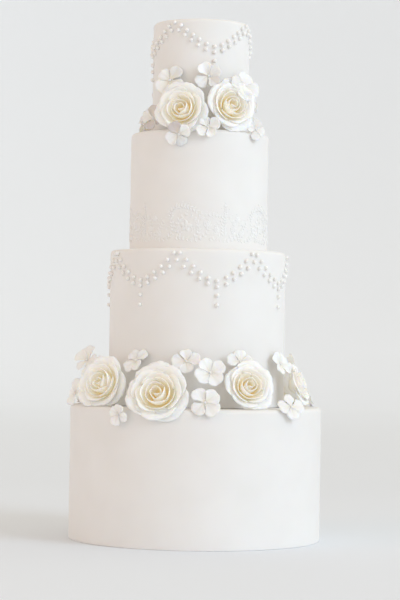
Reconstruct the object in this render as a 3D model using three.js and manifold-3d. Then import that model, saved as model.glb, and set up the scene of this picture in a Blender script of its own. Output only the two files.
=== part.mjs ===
// A tall wedding cake of four round tiers in white sugar paste, stacked straight on one another.
// A wreath of sugar roses and four-petal blossoms lies on the ledge of the base tier, a smaller
// wreath lies at the foot of the top tier, and a band of raised sugar lace runs round the foot of
// the upper tier. Every tier, rose and blossom is a solid of its own.
//
// Millimetres, +Z up. The origin is the middle of the face that the cake stands on, and -Y is its
// front. Directions round the cake are angles in degrees from the front, growing towards +X.

import * as THREE from "three";
import { mergeVertices } from "three/addons/utils/BufferGeometryUtils.js";
import Module from "manifold-3d";

// ---------------------------------------------------------------- driving dimensions

const TIERS = [
  { name: "tier_base", radius: 166, height: 176 },
  { name: "tier_lower", radius: 116, height: 203 },
  { name: "tier_upper", radius: 91, height: 154 },
  { name: "tier_top", radius: 63.5, height: 146 },
];
const TOP_EDGE = 5; // rounding of the paste over a tier's top edge
const FOOT_EDGE = 1.5; // small bevel at a tier's foot
const TIER_SIDES = 40;
const TOP_EDGE_STEPS = 2;

const SEAT_GAP = 0.3; // between pieces that touch
const TRIM_GAP = 0.45; // by which a neighbour is swollen before it trims a petal

const LACE_FOOT = 9; // over the foot of the upper tier
const LACE_HEIGHT = 44;
const LACE_WAVE = 7; // the upper outline rises and falls by this
const LACE_WAVES = 10;
const LACE_THICKNESS = 1;

const ROSE_SIDES = 20;
const ROSE_PETALS = 5; // petals in each whorl
const ROSE_DEPTH = 0.9; // from the back of a rose to its bud, in radii
const BLOSSOM_SIDES = 16;
const BLOSSOM_PETALS = 4;
const BLOSSOM_DEPTH = 0.5;

// Angles are in degrees. "angle" is the flower's place round the cake, "out" the distance from the
// cake's axis to its middle, and "up" its middle's height over the ledge. "lean" is how far it faces
// upwards, "face" the direction it faces if that isn't straight out, and "turn" its turn about its
// own stem.

const WREATH_ROSES = [
  { angle: -55, size: 37, out: 150, up: 30, lean: 20, face: -36 },
  { angle: -18, size: 40, out: 158, up: 20, lean: 22, face: -13 },
  { angle: 27, size: 33, out: 149, up: 30, lean: 20, face: 18 },
  { angle: 71, size: 29, out: 143, up: 32, lean: 22, face: 74 },
  { angle: 125, size: 34, out: 149, up: 28, lean: 21, face: 131 },
  { angle: 170, size: 38, out: 157, up: 23, lean: 22 },
  { angle: 213, size: 33, out: 147, up: 29, lean: 20, face: 205 },
  { angle: 255, size: 34, out: 148, up: 28, lean: 23 },
];

const WREATH_BLOSSOMS = [
  { angle: -79, size: 19, out: 148, up: 60, lean: 32, turn: 20, face: -50 },
  { angle: -80, size: 19, out: 163, up: 16, lean: 22, turn: 40, face: -56 },
  { angle: -38, size: 18, out: 128, up: 61, lean: 28, turn: 5 },
  { angle: -34, size: 14, out: 176, up: -8, lean: -4, turn: 35 },
  { angle: -6, size: 18, out: 128, up: 61, lean: 26, turn: 2 },
  { angle: 7, size: 19, out: 143, up: 47, lean: 22, turn: 38 },
  { angle: 4, size: 20, out: 166, up: 10, lean: 20, turn: 44 },
  { angle: 26, size: 18, out: 129, up: 61, lean: 30, turn: 15 },
  { angle: 46, size: 18, out: 170, up: 5, lean: 30, turn: 30, face: 36 },
  { angle: 59, size: 18, out: 129, up: 58, lean: 20, turn: 8, face: 52 },
  { angle: 104, size: 20, out: 153, up: 13, lean: 32, turn: 18 },
  { angle: 102, size: 18, out: 130, up: 52, lean: 18, turn: 36 },
  { angle: 126, size: 17, out: 127, up: 61, lean: 14, turn: 10 },
  { angle: 148, size: 19, out: 162, up: 10, lean: 30, turn: 27 },
  { angle: 149, size: 19, out: 132, up: 50, lean: 18, turn: 2 },
  { angle: 172, size: 17, out: 128, up: 61, lean: 14, turn: 33 },
  { angle: 192, size: 20, out: 163, up: 10, lean: 30, turn: 14 },
  { angle: 193, size: 18, out: 131, up: 51, lean: 18, turn: 40 },
  { angle: 215, size: 17, out: 127, up: 62, lean: 14, turn: 22 },
  { angle: 235, size: 19, out: 161, up: 11, lean: 31, turn: 6 },
  { angle: 236, size: 19, out: 131, up: 50, lean: 18, turn: 31 },
];

const CROWN_ROSES = [
  { angle: -17, size: 35, out: 86, up: 27, lean: 14 },
  { angle: 29, size: 34, out: 85, up: 33, lean: 13, face: 24 },
  { angle: 163, size: 32, out: 84, up: 25, lean: 14 },
  { angle: 211, size: 33, out: 85, up: 27, lean: 13 },
];

const CROWN_BLOSSOMS = [
  { angle: -34, size: 20, out: 74, up: 66, lean: 12, turn: 25, face: -24 },
  { angle: 8, size: 19, out: 73, up: 71, lean: 12, turn: 45 },
  { angle: 44, size: 20, out: 82, up: 59, lean: 18, turn: 8, face: 30 },
  { angle: -50, size: 16, out: 81, up: 17, lean: 10, turn: 40, face: -42 },
  { angle: -16.5, size: 16, out: 98, up: -8, lean: -14, turn: 12, face: -12 },
  { angle: 6, size: 15, out: 96, up: 2, lean: 4, turn: 34 },
  { angle: 50, size: 14, out: 96, up: 3, lean: 6, turn: 20, face: 36 },
  { angle: 82, size: 17, out: 71, up: 22, lean: 12, turn: 2 },
  { angle: 113, size: 18, out: 72, up: 44, lean: 12, turn: 36 },
  { angle: 126, size: 19, out: 80, up: 17, lean: 18, turn: 15 },
  { angle: 144, size: 18, out: 73, up: 61, lean: 12, turn: 42 },
  { angle: 187, size: 18, out: 73, up: 63, lean: 12, turn: 28 },
  { angle: 188, size: 17, out: 96, up: 0, lean: 4, turn: 5 },
  { angle: 226, size: 19, out: 75, up: 58, lean: 14, turn: 38 },
  { angle: 247, size: 19, out: 78, up: 17, lean: 18, turn: 18 },
  { angle: 271, size: 17, out: 71, up: 20, lean: 12, turn: 30 },
];

// ---------------------------------------------------------------- materials

function tierPaste() {
  return new THREE.MeshStandardMaterial({ color: 0xe9e6e1, roughness: 0.55, metalness: 0 });
}

function lacePaste() {
  return new THREE.MeshStandardMaterial({ color: 0xf4f2ee, roughness: 0.6, metalness: 0 });
}

function rosePaste() {
  return new THREE.MeshStandardMaterial({ color: 0xf3eee3, roughness: 0.6, metalness: 0 });
}

function blossomPaste() {
  return new THREE.MeshStandardMaterial({ color: 0xeeecea, roughness: 0.6, metalness: 0 });
}

// ---------------------------------------------------------------- shapes

function radians(degrees) {
  return (degrees * Math.PI) / 180;
}

// Half section of a tier: a bevelled foot, an upright side and a round top edge.
function tierOutline(radius, height, grow) {
  const side = radius + grow;
  const points = [
    new THREE.Vector2(0, -grow),
    new THREE.Vector2(side - FOOT_EDGE, -grow),
    new THREE.Vector2(side, FOOT_EDGE - grow),
  ];
  for (let step = 0; step <= TOP_EDGE_STEPS; step += 1) {
    const turn = (step / TOP_EDGE_STEPS) * (Math.PI / 2);
    const x = side - TOP_EDGE + TOP_EDGE * Math.cos(turn);
    const y = height + grow - TOP_EDGE + TOP_EDGE * Math.sin(turn);
    points.push(new THREE.Vector2(x, y));
  }
  points.push(new THREE.Vector2(0, height + grow));
  return points;
}

function tierGeometry(tier, grow = 0) {
  const lathe = new THREE.LatheGeometry(tierOutline(tier.radius, tier.height, grow), TIER_SIDES);
  return lathe.rotateX(Math.PI / 2);
}

// A closed skin from a back pole, through rings of equal count, to a front pole.
function ringedGeometry(back, rings, front) {
  const count = rings[0].length;
  const points = [back, ...rings.flat(), front];
  const last = points.length - 1;
  const index = [];
  for (let side = 0; side < count; side += 1) {
    const next = (side + 1) % count;
    index.push(0, 1 + next, 1 + side);
    for (let ring = 0; ring + 1 < rings.length; ring += 1) {
      const a = 1 + ring * count + side;
      const b = 1 + ring * count + next;
      index.push(a, b, b + count, a, b + count, a + count);
    }
    const edge = 1 + (rings.length - 1) * count;
    index.push(edge + side, edge + next, last);
  }
  const geometry = new THREE.BufferGeometry().setFromPoints(points);
  geometry.setIndex(index);
  return geometry;
}

// One ring of a flower: "waves" petals round it, each swelling outwards and rising at its middle.
function petalRing({ sides, waves, radius, height, swell, rise, phase }) {
  const ring = [];
  for (let side = 0; side < sides; side += 1) {
    const turn = (side / sides) * 2 * Math.PI;
    const wave = Math.cos(waves * turn + phase);
    const reach = radius * (1 + swell * wave);
    ring.push(new THREE.Vector3(reach * Math.cos(turn), reach * Math.sin(turn), height + rise * wave));
  }
  return ring;
}

// An open garden rose that faces +Z: a rounded back, an outer whorl of petals that curls out, two
// inner whorls that stand up from deep folds, and a tight bud.
function roseGeometry(size) {
  const whorl = (radius, height, swell, rise, phase) =>
    petalRing({
      sides: ROSE_SIDES,
      waves: ROSE_PETALS,
      radius: size * radius,
      height: size * height * ROSE_DEPTH,
      swell,
      rise: size * rise,
      phase,
    });
  const shifted = Math.PI; // the petals of one whorl lie over the gaps of the next
  const rings = [
    whorl(0.5, 0.1, 0.02, 0, 0),
    whorl(0.9, 0.46, 0.05, 0.01, 0),
    whorl(1.0, 0.66, 0.06, 0.03, 0),
    whorl(0.74, 0.56, 0.04, 0.01, 0),
    whorl(0.68, 0.84, 0.05, 0.03, shifted),
    whorl(0.45, 0.66, 0.04, 0, shifted),
    whorl(0.34, 0.94, 0.06, 0.03, 0),
  ];
  const back = new THREE.Vector3(0, 0, 0);
  const bud = new THREE.Vector3(0, 0, size * ROSE_DEPTH * 0.82);
  return ringedGeometry(back, rings, bud);
}

// A four-petal blossom that faces +Z: thin petals that lift to their tips round a raised middle.
function blossomGeometry(size) {
  const whorl = (radius, height, swell, rise) =>
    petalRing({
      sides: BLOSSOM_SIDES,
      waves: BLOSSOM_PETALS,
      radius: size * radius,
      height: size * BLOSSOM_DEPTH * height,
      swell,
      rise: size * rise,
      phase: 0,
    });
  const rings = [
    whorl(0.86, 0.8, 0.17, 0.05),
    whorl(0.55, 0.62, 0.12, 0.02),
    whorl(0.2, 0.5, 0, 0),
  ];
  const back = new THREE.Vector3(0, 0, 0);
  const bead = new THREE.Vector3(0, 0, size * BLOSSOM_DEPTH * 0.78);
  return ringedGeometry(back, rings, bead);
}

// A thin collar whose upper edge waves up and down, standing clear of the tier it is stuck on.
function laceGeometry(radius) {
  const inner = radius + SEAT_GAP;
  const outer = inner + LACE_THICKNESS;
  const corners = [];
  const index = [];
  for (let side = 0; side < TIER_SIDES; side += 1) {
    const turn = (side / TIER_SIDES) * 2 * Math.PI;
    const top = LACE_HEIGHT + LACE_WAVE * Math.cos(LACE_WAVES * turn);
    const section = [
      [inner, 0],
      [outer, 0],
      [outer, top],
      [inner, top],
    ];
    for (const [reach, height] of section) {
      corners.push(new THREE.Vector3(reach * Math.cos(turn), reach * Math.sin(turn), height));
    }
    const here = side * section.length;
    const next = ((side + 1) % TIER_SIDES) * section.length;
    for (let corner = 0; corner < section.length; corner += 1) {
      const beside = (corner + 1) % section.length;
      index.push(here + corner, next + corner, next + beside);
      index.push(here + corner, next + beside, here + beside);
    }
  }
  const geometry = new THREE.BufferGeometry().setFromPoints(corners);
  geometry.setIndex(index);
  return geometry;
}

// ---------------------------------------------------------------- trimming

const wasm = await Module();
wasm.setup();

// Only positions, each shared corner once.
function merged(geometry) {
  const bare = geometry.clone();
  bare.deleteAttribute("normal");
  bare.deleteAttribute("uv");
  return mergeVertices(bare);
}

// The same shape with its skin moved outwards.
function swollen(geometry, gap) {
  const shape = merged(geometry);
  shape.computeVertexNormals();
  const position = shape.getAttribute("position");
  const normal = shape.getAttribute("normal");
  const point = new THREE.Vector3();
  const outwards = new THREE.Vector3();
  for (let corner = 0; corner < position.count; corner += 1) {
    point.fromBufferAttribute(position, corner);
    outwards.fromBufferAttribute(normal, corner);
    point.addScaledVector(outwards, gap);
    position.setXYZ(corner, point.x, point.y, point.z);
  }
  return shape;
}

// A triangle at a lathe's pole has two corners in one place, and is left out.
function solidOf(geometry, matrix) {
  const shape = merged(geometry).applyMatrix4(matrix);
  const corners = shape.getIndex().array;
  const kept = [];
  for (let start = 0; start < corners.length; start += 3) {
    const [a, b, c] = corners.slice(start, start + 3);
    if (a !== b && b !== c && c !== a) {
      kept.push(a, b, c);
    }
  }
  return new wasm.Manifold(
    new wasm.Mesh({
      numProp: 3,
      vertProperties: new Float32Array(shape.getAttribute("position").array),
      triVerts: new Uint32Array(kept),
    }),
  );
}

function geometryOf(solid, matrix) {
  const { vertProperties, triVerts } = solid.getMesh();
  const geometry = new THREE.BufferGeometry();
  geometry.setAttribute("position", new THREE.BufferAttribute(vertProperties, 3));
  geometry.setIndex(new THREE.BufferAttribute(triVerts, 1));
  return geometry.applyMatrix4(matrix);
}

function largestBody(solid) {
  const bodies = solid.decompose();
  return bodies.reduce((best, body) => (body.volume() > best.volume() ? body : best));
}

// ---------------------------------------------------------------- building the cake

const cake = new THREE.Group();
const trimmers = []; // what is already in place, a little swollen

// Tiers stand one on another, and each next one has a hairline gap under it.
function stackTiers() {
  const ledges = [];
  let foot = 0;
  for (const tier of TIERS) {
    const mesh = new THREE.Mesh(tierGeometry(tier), tierPaste());
    mesh.name = tier.name;
    mesh.position.z = foot;
    mesh.updateMatrixWorld();
    cake.add(mesh);
    trimmers.push(solidOf(tierGeometry(tier, SEAT_GAP), mesh.matrixWorld));
    ledges.push({ foot, top: foot + tier.height });
    foot += tier.height + SEAT_GAP;
  }
  return ledges;
}

function stickLace(tier, foot) {
  const mesh = new THREE.Mesh(laceGeometry(tier.radius), lacePaste());
  mesh.name = "lace_band";
  mesh.position.z = foot + LACE_FOOT;
  cake.add(mesh);
}

// Turns the flower's own +Z outwards and up by its lean, and moves it to its place on the ledge.
function placeFlower(mesh, flower, ledge, middle) {
  const around = radians(flower.angle);
  const towards = radians(flower.face ?? flower.angle);
  const lean = radians(flower.lean);
  const facing = new THREE.Vector3(
    Math.sin(towards) * Math.cos(lean),
    -Math.cos(towards) * Math.cos(lean),
    Math.sin(lean),
  );
  mesh.quaternion.setFromUnitVectors(new THREE.Vector3(0, 0, 1), facing);
  mesh.rotateZ(radians(flower.turn ?? 0));
  mesh.position.set(
    Math.sin(around) * flower.out,
    -Math.cos(around) * flower.out,
    ledge + flower.up,
  );
  mesh.position.addScaledVector(facing, -middle);
  mesh.updateMatrixWorld();
}

// A flower gives way to the tiers and to every flower that is already there.
function seatFlower(name, geometry, material, flower, ledge, middle) {
  const mesh = new THREE.Mesh(geometry, material);
  mesh.name = name;
  placeFlower(mesh, flower, ledge, middle);
  let solid = solidOf(geometry, mesh.matrixWorld);
  for (const trimmer of trimmers) {
    solid = solid.subtract(trimmer);
  }
  mesh.geometry = geometryOf(largestBody(solid), mesh.matrixWorld.clone().invert());
  trimmers.push(solidOf(swollen(geometry, TRIM_GAP), mesh.matrixWorld));
  cake.add(mesh);
}

function layRoses(group, roses, ledge) {
  roses.forEach((rose, place) => {
    const middle = rose.size * ROSE_DEPTH * 0.66;
    seatFlower(`rose_${group}_${place + 1}`, roseGeometry(rose.size), rosePaste(), rose, ledge, middle);
  });
}

function layBlossoms(group, blossoms, ledge) {
  blossoms.forEach((blossom, place) => {
    const middle = blossom.size * BLOSSOM_DEPTH * 0.8;
    const name = `blossom_${group}_${place + 1}`;
    seatFlower(name, blossomGeometry(blossom.size), blossomPaste(), blossom, ledge, middle);
  });
}

const [base, , upper] = stackTiers();
stickLace(TIERS[2], upper.foot);
layRoses("wreath", WREATH_ROSES, base.top);
layBlossoms("wreath", WREATH_BLOSSOMS, base.top);
layRoses("crown", CROWN_ROSES, upper.top);
layBlossoms("crown", CROWN_BLOSSOMS, upper.top);

export default cake;
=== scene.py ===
# %% [markdown]
# # A wedding cake of four tiers
# The cake is four round sponges under smooth white sugar paste, stacked straight on one
# another. Sugar roses and four-petal blossoms lie in a wreath on the widest tier and in a
# smaller one at the foot of the top tier. Strings of sugar pearls hang in swags on two tiers,
# and a band of raised sugar lace runs round the third. The construction model already holds the
# tiers and one plain solid for each flower, so this script starts by loading it, and takes the
# tiers' sizes from it.

# %% Load the construction model
import math

import bmesh
import bpy
import numpy as np
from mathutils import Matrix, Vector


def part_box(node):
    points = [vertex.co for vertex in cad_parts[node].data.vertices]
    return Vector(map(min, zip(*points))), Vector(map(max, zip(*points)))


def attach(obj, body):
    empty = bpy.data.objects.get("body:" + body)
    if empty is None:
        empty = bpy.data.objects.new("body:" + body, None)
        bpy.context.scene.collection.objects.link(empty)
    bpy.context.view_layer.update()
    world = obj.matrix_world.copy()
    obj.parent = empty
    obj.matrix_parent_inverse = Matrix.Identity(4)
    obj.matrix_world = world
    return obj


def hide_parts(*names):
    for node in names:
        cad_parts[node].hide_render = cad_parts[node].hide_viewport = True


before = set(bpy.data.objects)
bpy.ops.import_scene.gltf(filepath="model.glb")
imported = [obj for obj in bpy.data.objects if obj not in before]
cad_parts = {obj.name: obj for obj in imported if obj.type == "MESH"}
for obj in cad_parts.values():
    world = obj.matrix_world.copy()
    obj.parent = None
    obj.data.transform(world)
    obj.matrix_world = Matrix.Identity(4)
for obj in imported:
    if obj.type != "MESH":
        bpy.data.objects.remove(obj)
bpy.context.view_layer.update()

MM = 0.001
chance = np.random.default_rng(20)
print("solids in the construction model:", len(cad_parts))

# %% [markdown]
# The cake is seen from the front, from a little over a third of its height, and from far enough
# away that the tiers' edges are almost straight. A long lens gives that. The camera leans by
# less than a degree, and a small shift puts the cake in its place in the frame.

# %% Camera
CAMERA_DISTANCE = 2.653
CAMERA_HEIGHT = 0.2666
camera_data = bpy.data.cameras.new("camera")
camera_data.lens = 120
camera_data.sensor_width = 36
camera_data.shift_x = 0.0053
camera_data.shift_y = 0.0617
camera = bpy.data.objects.new("camera", camera_data)
camera.location = (0, -CAMERA_DISTANCE, CAMERA_HEIGHT)
camera.rotation_euler = (math.radians(90), math.radians(-0.9), 0)
bpy.context.scene.collection.objects.link(camera)
bpy.context.scene.camera = camera
bpy.context.scene.view_settings.view_transform = "Standard"
print("camera lens", camera_data.lens, "mm")

# %% [markdown]
# Every shape here is a grid of points: rows along one parameter, columns along another. One
# helper lists the four-cornered faces of such a grid, and one puts points and faces into a
# mesh. Where a row shrinks to a pole its points lie on one another, so the doubles are merged,
# and the faces at the pole become triangles. Places round the cake are angles from the front,
# growing to the right.

# %% Grids of points, and the mesh they make
def grid_faces(rows, cols, ring=False):
    """Faces of a grid kept row by row. With ring, the last column is joined to the first."""
    row = np.arange(rows - 1)[:, None]
    col = np.arange(cols if ring else cols - 1)[None, :]
    right = (col + 1) % cols
    corners = (
        row * cols + col,
        row * cols + right,
        (row + 1) * cols + right,
        (row + 1) * cols + col,
    )
    return np.stack(np.broadcast_arrays(*corners), axis=-1).reshape(-1, 4)


def repeated_faces(faces, points_each, times):
    """The same faces for each of several equal grids whose points follow one another."""
    return (faces[None] + np.arange(times)[:, None, None] * points_each).reshape(-1, 4)


def around(angle, reach, height):
    """Points at an angle from the front, a reach from the cake's axis, and a height."""
    angle, reach, height = np.broadcast_arrays(angle, reach, height)
    return np.stack([reach * np.sin(angle), -reach * np.cos(angle), height], axis=-1)


def handle_curve(handles, part):
    """Points at parts of the way along a curve with four handles: the cubic mix of the four."""
    back = 1 - part
    weights = (back ** 3, 3 * back ** 2 * part, 3 * back * part ** 2, part ** 3)
    return sum(weight * handle for weight, handle in zip(weights, handles))


WELD = 1e-7  # metres: points nearer than this are one point


def add_piece(name, points, faces, material, shade_tint=None):
    """A smooth mesh object at the origin, riding with the cake. A shade tint, if given, colours
    each point: painted shade and grey.
    """
    mesh = bpy.data.meshes.new(name)
    mesh.vertices.add(len(points))
    mesh.vertices.foreach_set("co", np.asarray(points, np.float32).ravel())
    mesh.loops.add(faces.size)
    mesh.loops.foreach_set("vertex_index", faces.astype(np.int32).ravel())
    mesh.polygons.add(len(faces))
    mesh.polygons.foreach_set("loop_start", np.arange(0, faces.size, 4, dtype=np.int32))
    if shade_tint is not None:
        layer = mesh.attributes.new("shade_tint", "FLOAT_COLOR", "POINT")
        layer.data.foreach_set("color", np.asarray(shade_tint, np.float32).ravel())
    mesh.update(calc_edges=True)
    shape = bmesh.new()
    shape.from_mesh(mesh)
    bmesh.ops.remove_doubles(shape, verts=shape.verts, dist=WELD)
    shape.to_mesh(mesh)
    shape.free()
    mesh.shade_smooth()
    piece = bpy.data.objects.new(name, mesh)
    bpy.context.scene.collection.objects.link(piece)
    mesh.materials.append(material)
    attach(piece, "root")
    return piece


# %% [markdown]
# ## Finishes
# Sugar paste is never quite even. Rolled out by hand it has slow, faint clouds of tone, and
# close to it a skin as fine as eggshell. Both come from noise, and every white finish on the
# cake wants them at its own size, so they are one node group with inputs for the size and
# strength.

# %% A node group for the surface of sugar paste
def link(tree, output, entry):
    tree.links.new(output, entry)


def paste_group():
    """Slow clouds and a fine skin from two noises: puts out a mask 0 to 1 and a normal."""
    tree = bpy.data.node_groups.new("sugar paste surface", "ShaderNodeTree")
    sockets = tree.interface
    sockets.new_socket("Place", in_out="INPUT", socket_type="NodeSocketVector")
    for title, value in (("Cloud size", 0.05), ("Skin size", 0.0012), ("Skin height", 0.00003)):
        entry = sockets.new_socket(title, in_out="INPUT", socket_type="NodeSocketFloat")
        entry.default_value = value
    sockets.new_socket("Clouds", in_out="OUTPUT", socket_type="NodeSocketFloat")
    sockets.new_socket("Normal", in_out="OUTPUT", socket_type="NodeSocketVector")
    start = tree.nodes.new("NodeGroupInput")
    end = tree.nodes.new("NodeGroupOutput")
    noises = {}
    for title, detail in (("Cloud size", 2), ("Skin size", 3)):
        inverse = tree.nodes.new("ShaderNodeMath")
        inverse.operation = "DIVIDE"
        inverse.inputs[0].default_value = 1
        link(tree, start.outputs[title], inverse.inputs[1])
        noise = tree.nodes.new("ShaderNodeTexNoise")
        noise.inputs["Detail"].default_value = detail
        link(tree, start.outputs["Place"], noise.inputs["Vector"])
        link(tree, inverse.outputs[0], noise.inputs["Scale"])
        noises[title] = noise
    spread = tree.nodes.new("ShaderNodeMapRange")
    spread.inputs["From Min"].default_value = 0.3
    spread.inputs["From Max"].default_value = 0.7
    bump = tree.nodes.new("ShaderNodeBump")
    link(tree, noises["Cloud size"].outputs["Fac"], spread.inputs["Value"])
    link(tree, noises["Skin size"].outputs["Fac"], bump.inputs["Height"])
    link(tree, start.outputs["Skin height"], bump.inputs["Distance"])
    link(tree, spread.outputs["Result"], end.inputs["Clouds"])
    link(tree, bump.outputs["Normal"], end.inputs["Normal"])
    return tree


PASTE = paste_group()
print("inputs of the paste group:", [s.name for s in PASTE.interface.items_tree][:4])

# %% [markdown]
# Each finish is then a short recipe: two close tones that the clouds blend between, how matt it
# is, and how far light sinks into it. Sugar lets light in by a millimetre or two, which softens
# the shadows on it, and thin petals most of all. The tiers' paste is the most matt, with a weak
# gloss, so that their wide flat tops don't glare. Only the pearls shine, under a thin clear
# coat.

# %% Materials
def paste_material(name, light, dark, roughness, cloud, skin, height, sinks_in):
    """A white sugar finish. Returns the material and the node that blends its two tones."""
    material = bpy.data.materials.new(name)
    material.use_nodes = True
    tree = material.node_tree
    shader = tree.nodes["Principled BSDF"]
    place = tree.nodes.new("ShaderNodeTexCoord")
    paste = tree.nodes.new("ShaderNodeGroup")
    paste.node_tree = PASTE
    paste.inputs["Cloud size"].default_value = cloud
    paste.inputs["Skin size"].default_value = skin
    paste.inputs["Skin height"].default_value = height
    tones = tree.nodes.new("ShaderNodeMix")
    tones.data_type = "RGBA"
    tones.inputs["A"].default_value = (*dark, 1)
    tones.inputs["B"].default_value = (*light, 1)
    matt = tree.nodes.new("ShaderNodeMapRange")
    matt.inputs["To Min"].default_value = roughness + 0.05
    matt.inputs["To Max"].default_value = roughness - 0.05
    link(tree, place.outputs["Object"], paste.inputs["Place"])
    link(tree, paste.outputs["Clouds"], tones.inputs["Factor"])
    link(tree, paste.outputs["Clouds"], matt.inputs["Value"])
    link(tree, tones.outputs["Result"], shader.inputs["Base Color"])
    link(tree, matt.outputs["Result"], shader.inputs["Roughness"])
    link(tree, paste.outputs["Normal"], shader.inputs["Normal"])
    shader.inputs["Subsurface Weight"].default_value = sinks_in
    shader.inputs["Subsurface Radius"].default_value = (1.0, 0.75, 0.5)
    shader.inputs["Subsurface Scale"].default_value = 0.002
    return material, tones


TIER_ICING, _ = paste_material(
    "tier icing", light=(0.88, 0.868, 0.85), dark=(0.85, 0.836, 0.815), roughness=0.62,
    cloud=0.06, skin=0.0011, height=0.00002, sinks_in=0.12,
)
TIER_ICING.node_tree.nodes["Principled BSDF"].inputs["Specular IOR Level"].default_value = 0.28
LACE_ICING, _ = paste_material(
    "lace icing", light=(0.91, 0.903, 0.89), dark=(0.885, 0.876, 0.86), roughness=0.55,
    cloud=0.02, skin=0.0007, height=0.00003, sinks_in=0.1,
)
PEARL_ICING, _ = paste_material(
    "sugar pearls", light=(0.95, 0.94, 0.92), dark=(0.9, 0.885, 0.86), roughness=0.28,
    cloud=0.006, skin=0.0005, height=0.00001, sinks_in=0.1,
)
PEARL_ICING.node_tree.nodes["Principled BSDF"].inputs["Coat Weight"].default_value = 0.5

# %% [markdown]
# Petals get one more layer. Deep between a rose's petals the light that comes back has passed
# through several of them, so the folds are painted golden and darker, as painted shade, while
# the tips stay ivory white. The petal shapes below write how deep each point lies into a colour
# attribute of painted shade: red for the depth, and green for how greyed the petal is, by a
# random grey tone and, on some blossoms, by painted shade. This material reads it. Its faint
# painted glow stands for the light that comes through thin petals from behind, which soft
# shading alone leaves too dark.

# %% Petal materials
GREY_AND_SHADE = (0.57, 0.55, 0.59)    # multiplies a petal's colour where it is fully greyed, by a random grey tone and, on listed blossoms, by painted shade
TIP_LIGHT = (0.31, 0.31, 0.3)  # colour of the light that comes through the tips


def petal_material(name, light, dark, shade_colour, shade_power, deep_light, glow):
    """Sugar petals with a faint painted glow, and the painted fold shade colour where the shade
    attribute's red is high.
    """
    material, tones = paste_material(
        name, light, dark, roughness=0.55, cloud=0.012, skin=0.0009, height=0.00003, sinks_in=0.7
    )
    tree = material.node_tree
    shader = tree.nodes["Principled BSDF"]
    shade_tint = tree.nodes.new("ShaderNodeAttribute")
    shade_tint.attribute_name = "shade_tint"
    parts = tree.nodes.new("ShaderNodeSeparateColor")
    shade_depth = tree.nodes.new("ShaderNodeMath")
    shade_depth.operation = "POWER"
    shade_depth.inputs[1].default_value = shade_power
    painted_fold_shade = tree.nodes.new("ShaderNodeMix")
    painted_fold_shade.data_type = "RGBA"
    painted_fold_shade.inputs["B"].default_value = (*shade_colour, 1)
    shade = tree.nodes.new("ShaderNodeMix")
    shade.data_type = "RGBA"
    shade.blend_type = "MULTIPLY"
    shade.inputs["B"].default_value = (*GREY_AND_SHADE, 1)
    link(tree, shade_tint.outputs["Color"], parts.inputs["Color"])
    link(tree, parts.outputs["Red"], shade_depth.inputs[0])
    link(tree, shade_depth.outputs[0], painted_fold_shade.inputs["Factor"])
    link(tree, tones.outputs["Result"], shade.inputs["A"])
    link(tree, parts.outputs["Green"], shade.inputs["Factor"])
    link(tree, shade.outputs["Result"], painted_fold_shade.inputs["A"])
    link(tree, painted_fold_shade.outputs["Result"], shader.inputs["Base Color"])
    through = tree.nodes.new("ShaderNodeMix")
    through.data_type = "RGBA"
    through.inputs["A"].default_value = (*TIP_LIGHT, 1)
    through.inputs["B"].default_value = (*deep_light, 1)
    link(tree, parts.outputs["Red"], through.inputs["Factor"])
    link(tree, through.outputs["Result"], shader.inputs["Emission Color"])
    shader.inputs["Emission Strength"].default_value = glow
    return material


# Fold colours are painted shade: golden in a rose's folds, grey-beige at a blossom's heart and
# crease.
ROSE_PASTE = petal_material(
    "rose petals", light=(0.955, 0.943, 0.915), dark=(0.935, 0.917, 0.88),
    shade_colour=(0.82, 0.52, 0.05), shade_power=3.6, deep_light=(0.8, 0.71, 0.39), glow=0.16,
)
BLOSSOM_PASTE = petal_material(
    "blossom petals", light=(0.95, 0.938, 0.91), dark=(0.925, 0.91, 0.88),
    shade_colour=(0.78, 0.71, 0.62), shade_power=1.6, deep_light=(0.31, 0.29, 0.27), glow=0.116,
)

# %% [markdown]
# ## Tiers
# A tier is a sponge under a sheet of paste that is smoothed down its side and trimmed at the
# foot. The paste turns over the top edge in a small round, tucks in a little at the foot, and
# the palm leaves waves in the side too slight to see except in the shine. So the shape is half
# a section carried round the axis, with the reach of each point swelled by a slow wave.

# %% Tier shape
TIER_NAMES = ["tier_base", "tier_lower", "tier_upper", "tier_top"]
TOP_EDGE = 5 * MM
FOOT_ROLL = 1 * MM
HAND_WAVE = 0.22 * MM


def tier_section(radius, height):
    """Half section, from the middle of the foot to the middle of the top, as (reach, height)."""
    low = np.linspace(-math.pi / 2, 0, 5)
    high = np.linspace(0, math.pi / 2, 8)
    side = np.linspace(FOOT_ROLL, height - TOP_EDGE, 46)[1:-1]
    inwards = np.linspace(1, 0, 10) ** 1.2
    foot_reach = radius - FOOT_ROLL
    top_reach = radius - TOP_EDGE
    reach = np.concatenate([
        foot_reach * inwards[::-1][:-1],
        foot_reach + FOOT_ROLL * np.cos(low),
        np.full_like(side, radius),
        top_reach + TOP_EDGE * np.cos(high),
        top_reach * inwards[1:],
    ])
    rise = np.concatenate([
        np.zeros(len(inwards) - 1),
        FOOT_ROLL + FOOT_ROLL * np.sin(low),
        side,
        height - TOP_EDGE + TOP_EDGE * np.sin(high),
        np.full(len(inwards) - 1, height),
    ])
    return reach, rise


TIER_COLUMNS = 192


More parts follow.
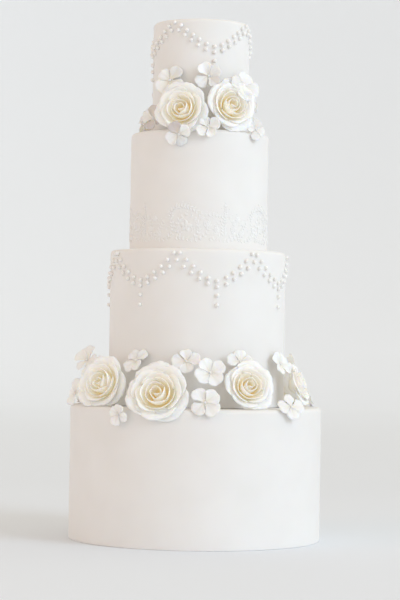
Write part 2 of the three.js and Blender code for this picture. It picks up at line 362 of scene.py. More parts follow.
def tier_points(radius, foot, height):
    """The section carried round the axis. Waves of 3, 5 and 9 to the round swell its reach."""
    reach, rise = tier_section(radius, height)
    angle = np.linspace(0, 2 * math.pi, TIER_COLUMNS, endpoint=False)[None, :]
    climb = rise[:, None] / height
    phase = chance.uniform(0, 2 * math.pi, 3)
    wave = (
        0.5 * np.sin(3 * angle + 2.2 * climb + phase[0])
        + 0.3 * np.sin(5 * angle - 4.0 * climb + phase[1])
        + 0.2 * np.sin(9 * angle + 7.0 * climb + phase[2])
    )
    swollen = reach[:, None] + HAND_WAVE * wave * (reach[:, None] / radius) ** 3
    return around(angle, swollen, foot + rise[:, None] + 0 * angle)


TIERS = {}
for name in TIER_NAMES:
    low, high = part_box(name)
    TIERS[name] = (float(high.x), float(low.z), float(high.z))
    points = tier_points(high.x, low.z, high.z - low.z)
    faces = grid_faces(*points.shape[:2], ring=True)
    piece = add_piece(name + "_paste", points.reshape(-1, 3), faces, TIER_ICING)
    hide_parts(name)
    print(name, "radius %.1f mm, top at %.1f mm" % (high.x / MM, high.z / MM))

# %% [markdown]
# ## Sugar pearls
# The pearls are rolled sugar balls of five to six millimetres, pressed one by one into the soft
# paste. Each swag is two strings that dip from a peak near the tier's edge to a trough, and
# from the trough hangs a short drop of single pearls. The dip is a power curve, steep near the
# peak and flat in the trough. The pearls keep an equal distance along it, so the curve is
# measured first and then divided by its length. Each pearl is a ball of few faces, because
# there are hundreds.

# %% Strings of pearls
PEARL = 2.8 * MM          # a pearl's radius
PEARL_OUT = 0.55 * PEARL  # from the paste's surface to the middle of a pearl
BALL_RINGS = 6
BALL_COLUMNS = 10


def swag_drop(part, peak, trough, rounding):
    """Depth under the tier's top, part of the way from the peak (0) to the trough (1)."""
    softened = np.hypot(part, rounding) - rounding
    softened = softened / (math.hypot(1, rounding) - rounding)
    return peak + (trough - peak) * (1 - (1 - softened) ** 1.5)


def string_places(radius, swag, first_peak, peak, trough, count, offset, rounding):
    """(angle, drop) of count pearls on each swag, an equal length apart along the curve."""
    part = np.linspace(0, 2, 801)
    turn = part * swag / 2
    drop = swag_drop(1 - np.abs(1 - part), peak, trough, rounding)
    step = np.hypot(np.diff(turn) * radius, np.diff(drop))
    length = np.concatenate([[0], np.cumsum(step)])
    wanted = (np.arange(count) + offset) / count * length[-1]
    swags = np.arange(round(2 * math.pi / swag))[:, None]
    angle = first_peak + swags * swag + np.interp(wanted, length, turn)
    return np.stack([angle, np.interp(wanted, length, drop) + 0 * angle], axis=-1).reshape(-1, 2)


def pearl_centres(places, radius, top):
    """Middles of pearls, sunk a little into the side, or into the round edge at its height."""
    places = places + chance.normal(0, 1, places.shape) * (0.0025, 0.25 * MM)
    angle, drop = places.T
    on_edge = drop < TOP_EDGE
    turn = np.where(on_edge, np.arcsin(np.clip(1 - drop / TOP_EDGE, -1, 1)), 0)
    out = TOP_EDGE + PEARL_OUT
    reach = radius - TOP_EDGE + out * np.cos(turn)
    height = np.where(on_edge, top - TOP_EDGE + out * np.sin(turn), top - drop)
    return around(angle, reach, height)


def ball_points():
    """A ball of radius 1, from pole to pole."""
    climb = np.linspace(-math.pi / 2, math.pi / 2, BALL_RINGS + 1)[:, None]
    turn = np.linspace(0, 2 * math.pi, BALL_COLUMNS, endpoint=False)[None, :]
    return around(turn, np.cos(climb), np.sin(climb)).reshape(-1, 3)


def ball_faces(times):
    """Faces of several balls whose points follow one another."""
    ball = grid_faces(BALL_RINGS + 1, BALL_COLUMNS, ring=True)
    return repeated_faces(ball, (BALL_RINGS + 1) * BALL_COLUMNS, times)


def string_pearls(name, tier, strings, drops, uneven=0):
    """All the pearls of a tier as one piece, with drops at those depths in millimetres.

    uneven widens the swag in front by some radians.
    """
    radius, _, top = TIERS[tier]
    places = [string_places(radius, **string) for string in strings]
    swags = round(2 * math.pi / strings[0]["swag"])
    low_point = strings[0]["first_peak"] + strings[0]["swag"] / 2
    for drop in drops:
        angle = low_point + np.arange(swags) * strings[0]["swag"]
        places.append(np.stack([angle, np.full(swags, drop * MM)], axis=-1))
    places = np.concatenate(places)
    places[:, 0] += uneven * np.sin(places[:, 0] - low_point)
    centres = pearl_centres(places, radius, top)
    ball = ball_points()
    size = PEARL * chance.uniform(0.95, 1.04, len(centres))
    points = centres[:, None] + ball[None] * size[:, None, None]
    faces = ball_faces(len(centres))
    add_piece(name, points.reshape(-1, 3), faces, PEARL_ICING)
    print(name, len(centres), "pearls")


def string(swags, first_peak, peak, trough, count, offset, rounding=0.0):
    """One string of pearls, from an angle in degrees and depths in millimetres.

    It has count pearls to a swag, and the first is offset steps on from the peak.
    """
    return {
        "swag": 2 * math.pi / swags,
        "first_peak": math.radians(first_peak),
        "peak": peak * MM,
        "trough": trough * MM,
        "count": count,
        "offset": offset,
        "rounding": rounding,
    }


string_pearls(
    "pearls_lower",
    "tier_lower",
    [
        string(7, -13.3, peak=1.5, trough=41, count=11, offset=0.5),
        string(7, -13.3, peak=15, trough=48.4, count=10, offset=0),
    ],
    drops=[59.2, 71.7],
)
string_pearls(
    "pearls_top",
    "tier_top",
    [
        string(4, -29.5, peak=5, trough=36.5, count=12, offset=0, rounding=0.16),
        string(4, -29.5, peak=13, trough=44.1, count=11, offset=0.5, rounding=0.1),
    ],
    drops=[55.5, 64.4, 75.2],
    uneven=math.radians(4.5),
)

# %% [markdown]
# ## Sugar lace
# The lace is pressed in a silicone mould and laid on while it is damp, so it is low and soft
# edged: scrolls, leaves, small flowers and dots, all about a millimetre proud. Each mark is one
# stroke of the same kind, a line with a width and a height that swell and taper along it. The
# strokes are drawn flat, in millimetres along and up the side, and then wrapped round the tier.

# %% Strokes of lace
LACE_TIER = "tier_upper"
LACE_SUNK = 0.25  # mm of each stroke that is inside the tier


def stroke_points(line, width, height):
    """A soft ridge along a line (n, 2): its section is half round in front and sunk behind."""
    along = np.gradient(line, axis=0)
    along /= np.linalg.norm(along, axis=-1, keepdims=True) + 1e-9
    across = np.stack([-along[:, 1], along[:, 0]], axis=-1)
    turn = np.radians([0, 45, 90, 135, 180, 270])
    front = np.round(np.sin(turn), 6) > 0
    flat = line[:, None] + across[:, None] * (width[:, None] * np.cos(turn))[..., None]
    lift = np.where(front, height[:, None] * np.sin(turn), -LACE_SUNK)
    return np.concatenate([flat, lift[..., None]], axis=-1)


def leaf(x, y, length, width, turn, bend=0.0, height=0.62, steps=9):
    """A leaf or petal from its foot, a hair from (x, y): its width is a sine along its length."""
    part = np.linspace(0, 1, steps)
    heading = math.radians(turn) + bend * (part - 0.5)
    step = length / (steps - 1)
    line = np.stack([np.cos(heading), np.sin(heading)], axis=-1) * step
    line = np.concatenate([line[:1] * 0.1, np.cumsum(line[:-1], axis=0)]) + (x, y)
    swell = np.sin(math.pi * part ** 0.8) ** 0.8
    return stroke_points(line, width / 2 * swell, height * (0.25 + 0.75 * swell) * (swell > 0.01))


def scroll(x, y, start, turns, size, width=1.4, height=0.6, steps=21):
    """A curl that winds inwards: its radius shrinks evenly while its direction turns."""
    part = np.linspace(0, 1, steps)
    heading = math.radians(start) + turns * 2 * math.pi * part
    step = size * (1.12 - part)[:, None] * abs(turns) * 0.3
    line = np.stack([np.cos(heading), np.sin(heading)], axis=-1) * step
    line = np.concatenate([[[0, 0]], np.cumsum(line[:-1], axis=0)]) + (x, y)
    swell = np.minimum(1, 6 * part * (1 - part) + 0.35)
    ends = (part > 0) & (part < 1)
    return stroke_points(line, width / 2 * swell * ends, height * swell * ends)


def dot(x, y, width, height=0.7):
    """A round drop: a stroke as long as it is wide."""
    part = np.linspace(0, 1, 7)
    line = np.stack([width * (part - 0.5), 0 * part], axis=-1) + (x, y)
    swell = np.sqrt(np.clip(1 - (2 * part - 1) ** 2, 0, 1))
    return stroke_points(line, width / 2 * swell, height * swell)


def flower(x, y, size, turn, petals):
    """A flat flower: petals round a dot."""
    marks = [leaf(x, y, size, size * 0.8, turn + k * 360 / petals) for k in range(petals)]
    return marks + [dot(x, y, size * 0.5, 1.0)]


# %% [markdown]
# One repeat of the lace is 114 mm long and goes five times round the tier. In its first half an
# arch of leaves spans a flower, and in its second half a narrow spray stands up out of lower
# work. Lesser sprays, scrolls, flowers and dots fill what is between, and a wavy garland of
# leaves runs along the foot. A stem is a curve with four handles and carries its leaves in
# pairs. No two leaves are quite equal, which the lace has from its own generator of chance.

# %% The lace pattern
lace_chance = np.random.default_rng(7)
# In millimetres from the foot of a repeat. Stems: four handles, pairs of leaves, and the length
# of the first and of the last leaves. Flowers: place, size, turn, petals. Scrolls: place, first
# direction, turns, size. Dots: place, width.
STEMS = (
    (((9, 28), (6, 50), (38, 54), (53, 27)), 15, 6.4, 5.0),
    (((4, 5), (12, 10), (14, 18), (9, 28)), 6, 5.6, 4.6),
    (((22, 5), (14, 14), (16, 28), (28, 34)), 7, 5.6, 4.2),
    (((40, 5), (48, 12), (48, 24), (38, 32)), 7, 5.6, 4.2),
    (((14, 3), (22, 8), (34, -1), (46, 4)), 7, 5.0, 4.6),
    (((50, 6), (60, 12), (62, 24), (56, 33)), 7, 5.8, 4.2),
    (((57, 34), (66, 39), (72, 30), (79, 34)), 6, 4.4, 4.4),
    (((80, 6), (76, 20), (84, 34), (81, 45)), 11, 7.4, 4.2),
    (((74, 5), (64, 12), (66, 22), (74, 26)), 6, 5.2, 4.0),
    (((86, 5), (96, 12), (96, 24), (89, 30)), 6, 5.2, 4.0),
    (((92, 4), (102, 10), (109, 18), (112, 24)), 7, 5.4, 4.2),
    (((58, 3), (66, 8), (78, -1), (88, 3)), 7, 5.0, 4.6),
    (((88, 3), (96, 8), (106, 0), (115, 4)), 6, 5.0, 4.6),
)
FLOWERS = (
    (29, 20, 8.4, 12, 5), (99, 30, 4.6, 0, 6), (57, 21, 5.2, 40, 5),
    (105, 11, 5.4, 20, 5), (69, 16, 4.8, 8, 6), (92, 17, 4.6, 30, 6),
)
SCROLLS = (
    (20, 26, 60, -0.8, 5.5), (34, 11, 20, 0.85, 5.0), (66, 29, 110, 0.8, 4.6),
    (47, 16, 100, 0.8, 4.6), (100, 21, 60, -0.8, 4.6), (2, 14, 80, -0.8, 5.0),
)
DOTS = (
    (17, 49, 1.8), (25, 51.5, 2.0), (33, 50, 1.8), (42, 45, 1.7), (49, 38, 1.7), (56, 39, 1.6),
    (63, 41, 1.6), (71, 38, 1.6), (76, 44, 1.6), (81, 51, 1.9), (87, 43, 1.6), (91, 36, 1.6),
    (98, 37, 1.6), (105, 28, 1.6), (110, 30, 1.6), (2, 31, 1.6), (5, 37, 1.6), (24, 12, 1.5),
    (31, 39, 1.5), (36, 36, 1.5), (22, 39, 1.5), (63, 11, 1.5), (84, 12, 1.5), (51, 30, 1.5),
)


def spray(stem, pairs, first, last):
    """Leaves in pairs along a stem, with lengths that go evenly from the first to the last."""
    part = np.linspace(0.04, 1, pairs)[:, None]
    line = handle_curve(np.array(stem, float), part)
    along = np.gradient(line, axis=0)
    headings = np.degrees(np.arctan2(along[:, 1], along[:, 0]))
    marks = []
    for place, heading, length in zip(line, headings, np.linspace(first, last, pairs)):
        for side in (1, -1):
            own = length * lace_chance.uniform(0.85, 1.15)
            turn = heading + side * 44 + lace_chance.uniform(-7, 7)
            marks.append(leaf(*place, own, own * 0.5, turn, 0.6 * side))
    return marks + [leaf(*line[-1], last, last * 0.5, headings[-1])]


def lace_repeat():
    """The strokes of one repeat, up to 52 mm high."""
    marks = []
    for stem in STEMS:
        marks += spray(*stem)
    for place in FLOWERS:
        marks += flower(*place)
    return marks + [scroll(*place) for place in SCROLLS] + [dot(*place) for place in DOTS]


LACE_REPEATS = 5
LACE_START = -0.505  # angle in radians where the first repeat begins
LACE_FOOT = 9        # mm from the tier's foot to the foot of the lace


def wrap_lace():
    """All repeats, wrapped round the tier: along becomes an angle, and height stands out."""
    radius, low, _ = TIERS[LACE_TIER]
    marks = lace_repeat()
    points = np.concatenate([mark.reshape(-1, 3) for mark in marks]) * MM
    faces, used = [], 0
    for mark in marks:
        lines, sides = mark.shape[:2]
        faces.append(grid_faces(lines, sides, ring=True) + used)
        used += lines * sides
    faces = np.concatenate(faces)
    turns = np.arange(LACE_REPEATS)[:, None] * 2 * math.pi / LACE_REPEATS
    angle = points[:, 0] / radius + LACE_START + turns
    wrapped = around(angle, radius + points[:, 2], low + LACE_FOOT * MM + points[:, 1])
    return wrapped.reshape(-1, 3), repeated_faces(faces, used, LACE_REPEATS)


lace_points, lace_faces = wrap_lace()
lace = add_piece("lace", lace_points, lace_faces, LACE_ICING)
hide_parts("lace_band")
print("lace:", len(lace_faces), "faces")

# %% [markdown]
# ## Where the flowers lie
# The construction model has one plain solid for each flower. The same lists give the flowers
# their places here: the angle round the cake, the size (the reach from the flower's stem to its
# petal tips), how far out from the cake's axis and how far up from the ledge its middle is, how
# far it leans back to face upwards, and, in some, the direction that it faces, its turn about
# its stem and how grey each of its petals is painted, as painted shade.

# %% Places of the flowers
WREATH_ROSES = [
    dict(angle=-55, size=37, out=150, up=30, lean=20, face=-36),
    dict(angle=-18, size=40, out=158, up=20, lean=22, face=-13),
    dict(angle=27, size=33, out=149, up=30, lean=20, face=18),
    dict(angle=71, size=29, out=143, up=32, lean=22, face=74),
    dict(angle=125, size=34, out=149, up=28, lean=21, face=131),
    dict(angle=170, size=38, out=157, up=23, lean=22),
    dict(angle=213, size=33, out=147, up=29, lean=20, face=205),
    dict(angle=255, size=34, out=148, up=28, lean=23),
]
WREATH_BLOSSOMS = [
    dict(angle=-79, size=19, out=148, up=60, lean=32, turn=20, face=-50),
    dict(angle=-80, size=19, out=163, up=16, lean=22, turn=40, face=-56),
    dict(angle=-38, size=18, out=128, up=61, lean=28, turn=5),
    dict(angle=-34, size=14, out=176, up=-8, lean=-4, turn=35),
    dict(angle=-6, size=18, out=128, up=61, lean=26, turn=2),
    dict(angle=7, size=19, out=143, up=47, lean=22, turn=38),
    dict(angle=4, size=20, out=166, up=10, lean=20, turn=44),
    dict(angle=26, size=18, out=129, up=61, lean=30, turn=15),
    dict(angle=46, size=18, out=170, up=5, lean=30, turn=30, face=36),
    dict(angle=59, size=18, out=129, up=58, lean=20, turn=8, face=52),
    dict(angle=104, size=20, out=153, up=13, lean=32, turn=18),
    dict(angle=102, size=18, out=130, up=52, lean=18, turn=36),
    dict(angle=126, size=17, out=127, up=61, lean=14, turn=10),
    dict(angle=148, size=19, out=162, up=10, lean=30, turn=27),
    dict(angle=149, size=19, out=132, up=50, lean=18, turn=2),
    dict(angle=172, size=17, out=128, up=61, lean=14, turn=33),
    dict(angle=192, size=20, out=163, up=10, lean=30, turn=14),
    dict(angle=193, size=18, out=131, up=51, lean=18, turn=40),
    dict(angle=215, size=17, out=127, up=62, lean=14, turn=22),
    dict(angle=235, size=19, out=161, up=11, lean=31, turn=6),
    dict(angle=236, size=19, out=131, up=50, lean=18, turn=31),
]
CROWN_ROSES = [
    dict(angle=-17, size=35, out=86, up=27, lean=14),
    dict(angle=29, size=34, out=85, up=33, lean=13, face=24),
    dict(angle=163, size=32, out=84, up=25, lean=14),
    dict(angle=211, size=33, out=85, up=27, lean=13),
]
# Where given, the four greys of a blossom's petals are painted shade.
CROWN_BLOSSOMS = [
    dict(angle=-34, size=20, out=74, up=66, lean=12, turn=25, face=-24,
         shade_grey=(0.1, 0.35, 0.0, 0.2)),
    dict(angle=8, size=19, out=73, up=71, lean=12, turn=45,
         shade_grey=(0.5, 0.45, 0.05, 0.1)),
    dict(angle=44, size=20, out=82, up=59, lean=18, turn=8, face=30,
         shade_grey=(0.1, 0.2, 0.1, 0.3)),
    dict(angle=-50, size=16, out=81, up=17, lean=10, turn=40, face=-42,
         shade_grey=(0.9, 0.8, 0.3, 0.9)),
    dict(angle=-16.5, size=16, out=98, up=-8, lean=-14, turn=12, face=-12,
         shade_grey=(0.2, 0.0, 0.9, 0.3)),
    dict(angle=6, size=15, out=96, up=2, lean=4, turn=34,
         shade_grey=(0.1, 0.2, 0.0, 0.15)),
    dict(angle=50, size=14, out=96, up=3, lean=6, turn=20, face=36,
         shade_grey=(0.4, 0.3, 0.5, 0.2)),
    dict(angle=82, size=17, out=71, up=22, lean=12, turn=2),
    dict(angle=113, size=18, out=72, up=44, lean=12, turn=36),
    dict(angle=126, size=19, out=80, up=17, lean=18, turn=15),
    dict(angle=144, size=18, out=73, up=61, lean=12, turn=42),
    dict(angle=187, size=18, out=73, up=63, lean=12, turn=28),
    dict(angle=188, size=17, out=96, up=0, lean=4, turn=5),
    dict(angle=226, size=19, out=75, up=58, lean=14, turn=38),
    dict(angle=247, size=19, out=78, up=17, lean=18, turn=18),
    dict(angle=271, size=17, out=71, up=20, lean=12, turn=30),
]
WREATH_LEDGE = TIERS["tier_base"][2]
CROWN_LEDGE = TIERS["tier_upper"][2]
print("ledges at %.1f and %.1f mm" % (WREATH_LEDGE / MM, CROWN_LEDGE / MM))

# %% [markdown]
# A flower is shaped facing straight up from the origin, and then carried to its place: turned
# about its stem, leaned over until its face points outwards, and moved. Where a petal would run
# into a tier, a maker bends it against the paste. The last helper does the same. A point inside
# a tier moves out of it by the shorter way, up to the ledge or out to the side. Near the tier's
# edge it moves away from a line that runs inside the edge, so that a petal there bends evenly
# over it.

# %% Carry a flower to its place
def facing_turn(facing, spin):
    """The turn that takes +Z straight to facing, after a spin about +Z."""
    side = np.cross([0, 0, 1], facing)
    skew = np.array([[0, -side[2], side[1]], [side[2], 0, -side[0]], [-side[1], side[0], 0]])
    lean = np.eye(3) + skew + skew @ skew / (1 + facing[2])
    c, s = math.cos(spin), math.sin(spin)
    return lean @ np.array([[c, -s, 0], [s, c, 0], [0, 0, 1]])


def carry(points, flower, ledge, middle):
    """Points of a flower that faces +Z, moved so that its middle is where the list says."""
    lean = math.radians(flower["lean"])
    towards = math.radians(flower.get("face", flower["angle"]))
    facing = around(towards, math.cos(lean), math.sin(lean))
    turn = facing_turn(facing, math.radians(flower.get("turn", 0)))
    spot = around(math.radians(flower["angle"]), flower["out"] * MM, ledge + flower["up"] * MM)
    return points @ turn.T + spot - facing * middle


RIM = 12 * MM  # from a tier's edge to the line inside it


def bend_clear(points, clearance):
    """Moves points that are inside a tier, or nearer to it than the clearance, out of it.

    Near the edge, a point's two distances from a line RIM inside it grow together, until the
    fourth root of the sum of their fourth powers is RIM and the clearance.
    """
    for radius, foot, top in TIERS.values():
        reach = np.hypot(points[:, 0], points[:, 1])
        height = points[:, 2]
        out = radius + clearance - reach
        up = top + clearance - height
        inside = (out > 0) & (up > 0) & (height > foot)
        past = np.maximum(reach - radius + RIM, 0)
        above = np.maximum(height - top + RIM, 0)
        edge = inside & (past > 0) & (above > 0)
        corner = np.maximum((past ** 4 + above ** 4) ** 0.25, 1e-9)
        grow = np.maximum((RIM + clearance) / corner, 1)
        rises = inside & ~edge & (up < out)
        goes_out = inside & ~edge & ~rises
        new_reach = np.where(goes_out, radius + clearance, reach)
        new_reach = np.where(edge, radius - RIM + past * grow, new_reach)
        new_height = np.where(rises, top + clearance, height)
        new_height = np.where(edge, top - RIM + above * grow, new_height)
        points = np.column_stack([points[:, :2] * (new_reach / reach)[:, None], new_height])
    return points


# %% [markdown]
# ## Roses
# A sugar rose is built as it grows. Petals of thin paste are cut, thinned at the edge and laid
# round a bud one after another, each a golden angle on from the last, so that none lies
# straight over its neighbour. The first ones stand and close over the bud, and each later one
# is wider, lower and more open, and curls back further at its edge. So one rule makes them all,
# with a table that says how the petals change from the bud to the outside.
#
# A petal is a grid of two parameters. Across it, the grid turns about the stem. From foot to
# tip it follows a curve with four handles: close to the stem at the foot, then out and up to
# the tip. The painted golden shade of the folds is deepest a quarter of the way up, where the
# folds end, and fades from there both ways.

# %% Shape of the rose's petals
ROSE_PETALS = 18
PETAL_ROWS = 15
PETAL_COLUMNS = 21
GOLDEN_ANGLE = math.radians(137.5)
# From the bud to the outside: half width in degrees, reach and height of the tip as parts of
# the rose's radius, how far the petal closes over the bud, how far it opens flat, the curl of
# its edge, how strong the painted golden shade in its fold is, and the painted golden shade
# and glow over the whole petal.
ROSE_TABLE = {
    "half": (104, 86, 72, 62, 55, 50),
    "reach": (0.10, 0.25, 0.47, 0.71, 0.93, 1.06),
    "height": (0.80, 0.83, 0.81, 0.76, 0.67, 0.56),
    "close": (0.35, 0.25, 0.12, 0.05, 0, 0),
    "flat": (0, 0.1, 0.35, 0.65, 0.9, 1.0),
    "curl": (0, 0.1, 0.3, 0.6, 0.9, 1.0),
    "fold_shade": (1.0, 1.0, 1.0, 0.92, 0.64, 0.32),
    "heart_shade": (0.3, 0.18, 0.06, 0, 0, 0),
}
FOLD_SHADE_FOOT = 0.25  # how far up a petal, as a part of its length, its painted fold shade is deepest


def rose_petals(size):
    """All the petals of a rose at once, as (petals, rows, columns, 3), with their painted shade
    tints.

    Reach and height follow a handle curve from foot to tip, stopped short towards the sides, so
    that the tip is round. The last third curls out and down, and two sines frill it.
    """
    age = np.linspace(0, 1, ROSE_PETALS)
    luck = chance.uniform(-1, 1, (8, ROSE_PETALS, 1, 1))
    table = {
        key: np.interp(age, np.linspace(0, 1, len(row)), row)[:, None, None]
        for key, row in ROSE_TABLE.items()
    }
    flat, curl = table["flat"], table["curl"]
    tip_reach = table["reach"] * (1 + 0.09 * luck[0] * (1.1 - age[:, None, None]))
    tip_height = table["height"] * (1 + 0.03 * luck[1])
    row = np.linspace(0, 1, PETAL_ROWS)[None, :, None]
    across = np.linspace(-1, 1, PETAL_COLUMNS)[None, None, :]
    part = row * (1 - (0.26 + 0.06 * luck[6]) * np.abs(across) ** 2.6)
    low_out = tip_reach * (0.95 - 0.35 * flat)
    high_out = tip_reach * (1 + table["close"] - 0.25 * flat)
    out = (0.05, low_out, high_out, tip_reach)
    up = (0.05, 0.05 + 0.3 * flat, tip_height * (0.62 + 0.36 * flat), tip_height)
    reach = handle_curve(out, part)
    height = handle_curve(up, part)
    edge = np.clip((part - 0.66) / 0.34, 0, 1) ** 2
    frill = np.sin((2.2 + 0.6 * luck[2]) * math.pi * across + 3 * luck[3])
    frill = frill + 0.45 * np.sin(6.5 * math.pi * across + 5 * luck[3])
    reach = reach + 0.03 * across * row + curl * (0.045 * edge + 0.03 * across ** 4 * row)
    reach = reach + 0.016 * (0.3 + curl) * frill * row ** 3
    height = height - 0.1 * curl * edge + 0.026 * (0.3 + curl) * frill * row ** 3
    height = height + (0.03 + 0.04 * luck[7]) * flat * across * row
    turn = np.arange(ROSE_PETALS)[:, None, None] * GOLDEN_ANGLE + 0.12 * luck[4]
    half = np.radians(table["half"])
    angle = turn + half * across * (0.6 + 0.4 * np.sin(row * math.pi / 2))
    points = around(angle, size * reach, size * height)
    # Painted shade and glow: how deep in the rose each point lies, which the material paints
    # golden and darker.
    foot = np.clip(part / FOLD_SHADE_FOOT, 0, 1)
    shade_depth = np.clip(1.15 * table["fold_shade"] * (1 - part) * foot + table["heart_shade"], 0, 1)
    tone = 0.12 * np.maximum(luck[5], 0) + 0 * shade_depth
    return points, np.stack([shade_depth, tone, 0 * shade_depth, 1 + 0 * shade_depth], axis=-1)


# %% [markdown]
# The petals are single surfaces so far. A Solidify modifier gives them the thickness of rolled
# petal paste, half a millimetre, and closes their edges. It comes after the petals are bent
# clear of the tiers, so that the paste stays equally thick.

# %% Make the roses
CLEAR_OF_TIER = 0.6 * MM  # from a tier to the middle of the paste of the petal next to it
ROSE_MIDDLE = 0.9 * 0.66  # from a rose's foot to its middle, as a part of its size
ROSE_LAYER = 0.06 * MM    # how much further each petal stays from a tier than the one before
ROSE_THICKNESS = 0.55 * MM


def thicken(piece, thickness):
    """A live modifier that gives thin petals their paste."""
    solidify = piece.modifiers.new("paste thickness", "SOLIDIFY")
    solidify.thickness = thickness
    solidify.offset = 0


def make_rose(name, flower, ledge):
    """One rose: its petals as one piece, in its place, bent clear of the tiers."""
    size = flower["size"] * MM
    grids, shade_tints = rose_petals(size)
    petals, rows, columns = grids.shape[:3]
    each = rows * columns
    points = carry(grids.reshape(-1, 3), flower, ledge, size * ROSE_MIDDLE)
    layer = np.repeat(np.arange(petals), each) * ROSE_LAYER
    points = bend_clear(points, CLEAR_OF_TIER + layer)
    faces = repeated_faces(grid_faces(rows, columns), each, petals)
    shade_tint = shade_tints.reshape(-1, 4)
    piece = add_piece(name + "_petals", points, faces, ROSE_PASTE, shade_tint)
    thicken(piece, ROSE_THICKNESS)
    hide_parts(name)


for group, roses, ledge in (
    ("wreath", WREATH_ROSES, WREATH_LEDGE),
    ("crown", CROWN_ROSES, CROWN_LEDGE),
):
    for place, flower in enumerate(roses):
        make_rose(f"rose_{group}_{place + 1}", flower, ledge)
print("roses:", len(WREATH_ROSES) + len(CROWN_ROSES), "of", ROSE_PETALS, "petals")

# %% [markdown]
# ## Blossoms
# The small flowers are pressed with a four-petal cutter and cupped on foam, like hydrangea
# florets. Each petal is a sector that rounds off towards its sides, cupped up to its tip, with
# a crease down the middle and a slightly frilled edge. A bead of icing and four dots hold the
# middle.

# %% Shape of a blossom
def blossom_petals(size, shade_grey):
    """Four petals as (4, rows, columns, 3) with their painted shade tints. The greys given are
    painted shade on each petal; without them each petal gets a random grey tone.

    The rim falls off towards the sides and dips at the middle. The cup rises with a power of the
    way out, and two sines across the petal frill it.
    """
    row = np.linspace(0, 1, 13)[None, :, None]
    across = np.linspace(-1, 1, 15)[None, None, :]
    luck = chance.uniform(-1, 1, (7, 4, 1, 1))
    spread = math.radians(47) * (1 + 0.12 * luck[0]) * (0.7 + 0.3 * row)
    angle = np.arange(4)[:, None, None] * math.pi / 2 + across * spread + 0.1 * luck[1]
    rim = 1 - 0.34 * np.abs(across) ** 2.6 - 0.05 * np.exp(-((across / 0.18) ** 2))
    reach = (0.05 + 0.98 * row * rim) * (1 + 0.1 * luck[2])
    crease = 0.025 * np.exp(-((across / 0.2) ** 2)) * np.sin(row * math.pi) ** 0.7
    frill = 0.06 * np.sin(3.4 * across + 3 * luck[3]) + 0.025 * np.sin(9 * across + 5 * luck[3])
    cup = (0.26 + 0.2 * luck[4]) * row ** 1.5 + (0.05 + 0.05 * luck[5]) * across ** 2 * row
    tilt = (0.03 + 0.05 * luck[6]) * across * row
    height = 0.24 + cup - 0.12 * row ** 4 - crease + frill * row ** 2 + tilt
    points = around(angle + 0 * row, size * reach, size * height)
    # Painted shade, darkest at the heart of the blossom and down the crease of each petal.
    shade_depth = (1 - row) ** 1.6 + 0.35 * np.exp(-((across / 0.12) ** 2)) * (1 - row) + 0 * angle
    # Given greys are painted shade; otherwise a random grey tone.
    grey = 0.2 * np.maximum(luck[1], 0) if shade_grey is None else np.reshape(shade_grey, (4, 1, 1))
    tone = grey + 0 * shade_depth
    return points, np.stack([np.clip(shade_depth, 0, 1), tone, 0 * shade_depth, 1 + 0 * shade_depth], axis=-1)


def blossom_beads(size):
    """Points of the middle bead, four dots in the gaps between the petals, and the peg behind."""
    ball = ball_points()
    gaps = math.pi / 4 + np.arange(4) * math.pi / 2
    spots = np.concatenate([around(np.zeros(1), 0, 0.27), around(gaps, 0.19, 0.27)]) * size
    sizes = np.array([0.085, 0.035, 0.035, 0.035, 0.035]) * size
    balls = spots[:, None] + ball[None] * sizes[:, None, None]
    peg = (ball * (0.09, 0.09, 0.12) + (0, 0, 0.13)) * size
    return np.concatenate([balls, peg[None]])


# %% Make the blossoms
BLOSSOM_MIDDLE = 0.5 * 0.8
BLOSSOM_LAYER = 0.15 * MM
BLOSSOM_THICKNESS = 0.5 * MM
# The beads take a quarter of the painted fold shade, and some grey.
BEAD_SHADE_TINT = (0.25, 0.3, 0, 1)


def make_blossom(name, flower, ledge):
    """One blossom: its petals, beads and peg as one piece, in its place, clear of the tiers."""
    size = flower["size"] * MM
    grids, shade_tints = blossom_petals(size, flower.get("shade_grey"))
    petals, rows, columns = grids.shape[:3]
    each = rows * columns
    beads = blossom_beads(size)
    points = np.concatenate([grids.reshape(-1, 3), beads.reshape(-1, 3)])
    points = carry(points, flower, ledge, size * BLOSSOM_MIDDLE)
    layer = np.zeros(len(points))
    layer[: petals * each] = np.repeat(np.arange(petals), each) * BLOSSOM_LAYER
    points = bend_clear(points, CLEAR_OF_TIER + layer)
    petal_faces = repeated_faces(grid_faces(rows, columns), each, petals)
    bead_faces = ball_faces(len(beads)) + petals * each
    bead_shade_tint = np.tile(BEAD_SHADE_TINT, (beads.shape[0] * beads.shape[1], 1))
    shade_tint = np.concatenate([shade_tints.reshape(-1, 4), bead_shade_tint])
    faces = np.concatenate([petal_faces, bead_faces])
    piece = add_piece(name + "_petals", points, faces, BLOSSOM_PASTE, shade_tint)
    thicken(piece, BLOSSOM_THICKNESS)
    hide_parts(name)


for group, blossoms, ledge in (
    ("wreath", WREATH_BLOSSOMS, WREATH_LEDGE),
    ("crown", CROWN_BLOSSOMS, CROWN_LEDGE),
):
    for place, flower in enumerate(blossoms):
        make_blossom(f"blossom_{group}_{place + 1}", flower, ledge)
print("blossoms:", len(WREATH_BLOSSOMS) + len(CROWN_BLOSSOMS))

# %% [markdown]
# ## Table and light
# A white cake needs a pale room. The floor is one sheet of paper that curves up far away on
# every side, so no corner or horizon shows from any angle, and the paper glows a little where
# it is far off, as a lit backdrop does. Most of the light is even, slightly warm and stronger
# from the right. A wide cool lamp on the right adds the brighter side, and a weak warm one
# keeps the left side from turning grey. The slow change from one to the other is what makes the
# tiers look round.

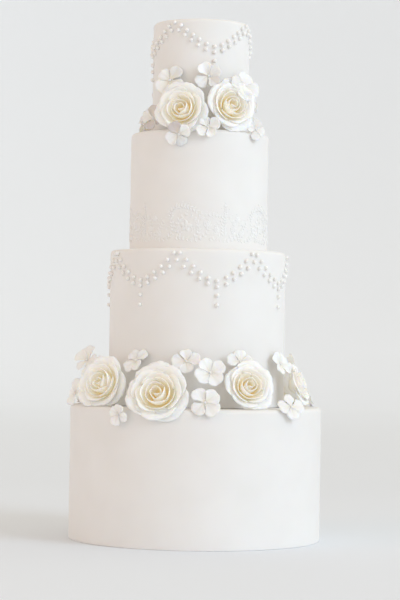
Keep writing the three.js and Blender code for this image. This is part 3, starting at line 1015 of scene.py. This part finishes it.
# %% Paper sweep
def sweep_points(columns=96):
    """A flat floor that turns up in a quarter circle to an upright wall, carried all round."""
    bend = np.linspace(0, math.pi / 2, 17)
    reach = np.concatenate([[0, 1, 2.5, 4], 5 + 2.5 * np.sin(bend), [7.5, 7.5]])
    rise = np.concatenate([[0, 0, 0, 0], 2.5 - 2.5 * np.cos(bend), [3.2, 4]])
    turn = np.linspace(0, 2 * math.pi, columns, endpoint=False)[None, :]
    return around(turn, reach[:, None], rise[:, None])


def paper_material():
    """Matt pale paper that glows a little more the further it is from the cake."""
    material = bpy.data.materials.new("paper")
    material.use_nodes = True
    shader = material.node_tree.nodes["Principled BSDF"]
    shader.inputs["Base Color"].default_value = (0.804, 0.842, 0.895, 1)
    shader.inputs["Roughness"].default_value = 0.9
    shader.inputs["Specular IOR Level"].default_value = 0.1
    tree = material.node_tree
    place = tree.nodes.new("ShaderNodeTexCoord")
    far = tree.nodes.new("ShaderNodeVectorMath")
    far.operation = "LENGTH"
    glow = tree.nodes.new("ShaderNodeMapRange")
    glow.inputs["From Min"].default_value = 1.0
    glow.inputs["From Max"].default_value = 6.0
    glow.inputs["To Max"].default_value = 0.21
    link(tree, place.outputs["Object"], far.inputs[0])
    link(tree, far.outputs["Value"], glow.inputs["Value"])
    link(tree, glow.outputs["Result"], shader.inputs["Emission Strength"])
    shader.inputs["Emission Color"].default_value = (0.76, 0.76, 0.78, 1)
    return material


grid = sweep_points()
sweep_mesh = bpy.data.meshes.new("sweep")
sweep_faces = grid_faces(*grid.shape[:2], ring=True)[:, ::-1]
sweep_mesh.from_pydata(grid.reshape(-1, 3).tolist(), [], sweep_faces.tolist())
sweep_mesh.shade_smooth()
sweep_mesh.materials.append(paper_material())
sweep = bpy.data.objects.new("sweep", sweep_mesh)
bpy.context.scene.collection.objects.link(sweep)

# %% Lamps and room light
def add_lamp(name, place, aim, size, power, colour, spread):
    """A square soft lamp at place that shines at aim, in a beam of a spread in degrees."""
    lamp_data = bpy.data.lights.new(name, "AREA")
    lamp_data.size = size
    lamp_data.energy = power
    lamp_data.color = colour
    lamp_data.spread = math.radians(spread)
    lamp = bpy.data.objects.new(name, lamp_data)
    lamp.location = place
    back = np.subtract(place, aim)
    across = math.hypot(back[0], back[1])
    lamp.rotation_euler = (math.atan2(across, back[2]), 0, math.atan2(back[0], -back[1]))
    bpy.context.scene.collection.objects.link(lamp)
    return lamp


CAKE_MIDDLE = (0, 0, 0.35)
add_lamp(
    "key", (4.6, -3.2, 2.9), CAKE_MIDDLE,
    size=3.0, power=32, colour=(0.68, 0.8, 0.95), spread=80,
)
add_lamp(
    "warm side", (-4.6, -2.4, 2.4), CAKE_MIDDLE,
    size=3.0, power=6.5, colour=(1.0, 0.4, 0.2), spread=80,
)

ROOM_STRENGTH = 0.795
ROOM_LEAN = (0.325, 0.1, 0)  # how much stronger the light is that comes from +X and from +Y
room = bpy.data.worlds.new("room")
room.use_nodes = True
air = room.node_tree
direction = air.nodes.new("ShaderNodeTexCoord")
lean = air.nodes.new("ShaderNodeVectorMath")
lean.operation = "DOT_PRODUCT"
lean.inputs[1].default_value = ROOM_LEAN
strength = air.nodes.new("ShaderNodeMath")
strength.inputs[1].default_value = ROOM_STRENGTH
link(air, direction.outputs["Generated"], lean.inputs[0])
link(air, lean.outputs["Value"], strength.inputs[0])
link(air, strength.outputs["Value"], air.nodes["Background"].inputs["Strength"])
air.nodes["Background"].inputs["Color"].default_value = (1.0, 0.93, 0.803, 1)
bpy.context.scene.world = room
